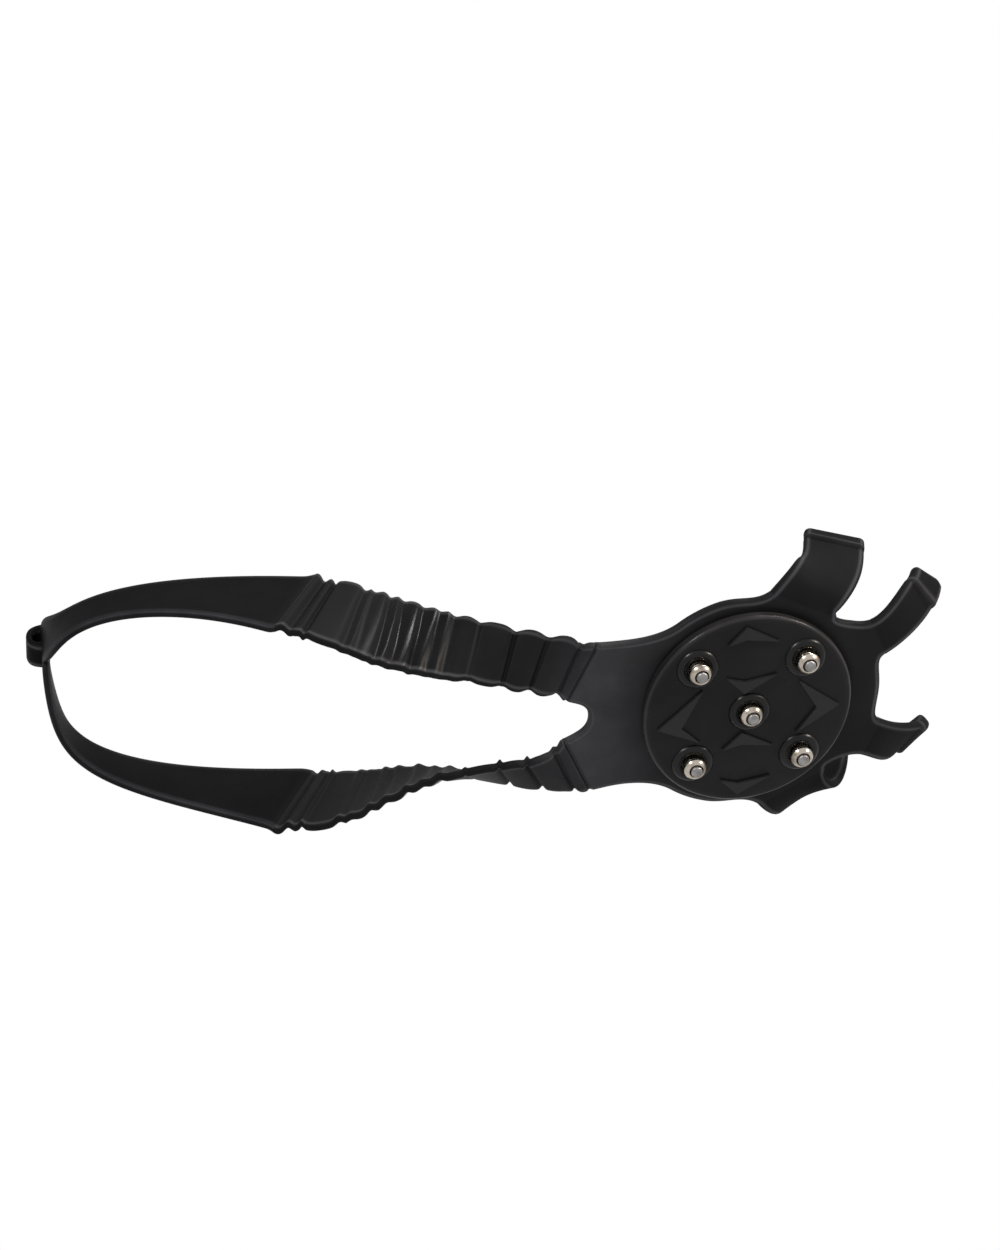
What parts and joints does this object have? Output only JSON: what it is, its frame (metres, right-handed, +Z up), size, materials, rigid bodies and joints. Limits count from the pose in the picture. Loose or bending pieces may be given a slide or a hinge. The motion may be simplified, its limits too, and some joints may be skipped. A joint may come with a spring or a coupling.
{
  "type": "anti-slip overshoe",
  "caption": "Stretch rubber harness that hooks over the toe and heel of a shoe and holds a round studded tread pad under the ball of the foot for grip on ice.",
  "frame": {"origin": "tip face of the centre stud's pin, on the ground", "axes": "+X towards the toe, +Y to the left, +Z up from the ground to the sole of the shoe"},
  "size_m": [0.2755, 0.0908, 0.0895],
  "materials": {
    "harness_rubber": "satin moulded rubber",
    "tread_rubber": "matt moulded rubber",
    "stud_steel": "turned and plated",
    "carbide": "sintered and ground"
  },
  "bodies": {
    "sole": {"sole_web": "harness_rubber", "tread_pad": "tread_rubber", "side_hook_left_bend": "harness_rubber", "front_hook_left_bend": "harness_rubber", "side_hook_right_bend": "harness_rubber", "front_hook_right_bend": "harness_rubber", "side_band_left": "harness_rubber", "side_band_right": "harness_rubber", "stud_centre": "stud_steel", "stud_front_left": "stud_steel", "stud_front_right": "stud_steel", "stud_rear_left": "stud_steel", "stud_rear_right": "stud_steel", "pin_centre": "carbide", "pin_front_left": "carbide", "pin_front_right": "carbide", "pin_rear_left": "carbide", "pin_rear_right": "carbide"},
    "left_side_hook": {"side_hook_left": "harness_rubber"},
    "left_front_hook": {"front_hook_left": "harness_rubber"},
    "right_side_hook": {"side_hook_right": "harness_rubber"},
    "right_front_hook": {"front_hook_right": "harness_rubber"},
    "heel": {"heel_strap": "harness_rubber", "pull_loop": "harness_rubber"}
  },
  "joints": [
    {"name": "left_side_hook_bend", "type": "hinge", "parent": "sole", "child": "left_side_hook", "pos_m": [0.02122, 0.03748, 0.01277], "axis": [-0.887, 0.4618, 0], "range_deg": [-10, 40], "stiffness_Nm_per_rad": 0.02, "deforming": ["side_hook_left_bend"]},
    {"name": "left_front_hook_bend", "type": "hinge", "parent": "sole", "child": "left_front_hook", "pos_m": [0.05018, 0.02188, 0.01383], "axis": [-0.3987, 0.9171, 0], "range_deg": [-10, 40], "stiffness_Nm_per_rad": 0.02, "deforming": ["front_hook_left_bend"]},
    {"name": "right_side_hook_bend", "type": "hinge", "parent": "sole", "child": "right_side_hook", "pos_m": [0.02122, -0.03748, 0.01277], "axis": [0.887, 0.4618, 0], "range_deg": [-10, 40], "stiffness_Nm_per_rad": 0.02, "deforming": ["side_hook_right_bend"]},
    {"name": "right_front_hook_bend", "type": "hinge", "parent": "sole", "child": "right_front_hook", "pos_m": [0.05018, -0.02188, 0.01383], "axis": [0.3987, 0.9171, 0], "range_deg": [-10, 40], "stiffness_Nm_per_rad": 0.02, "deforming": ["front_hook_right_bend"]},
    {"name": "heel_stretch", "type": "slide", "parent": "sole", "child": "heel", "axis": [-0.9553, 0, 0.2957], "range_m": [-0.02, 0.04], "stiffness_N_per_m": 600, "deforming": ["side_band_left", "side_band_right"]}
  ]
}
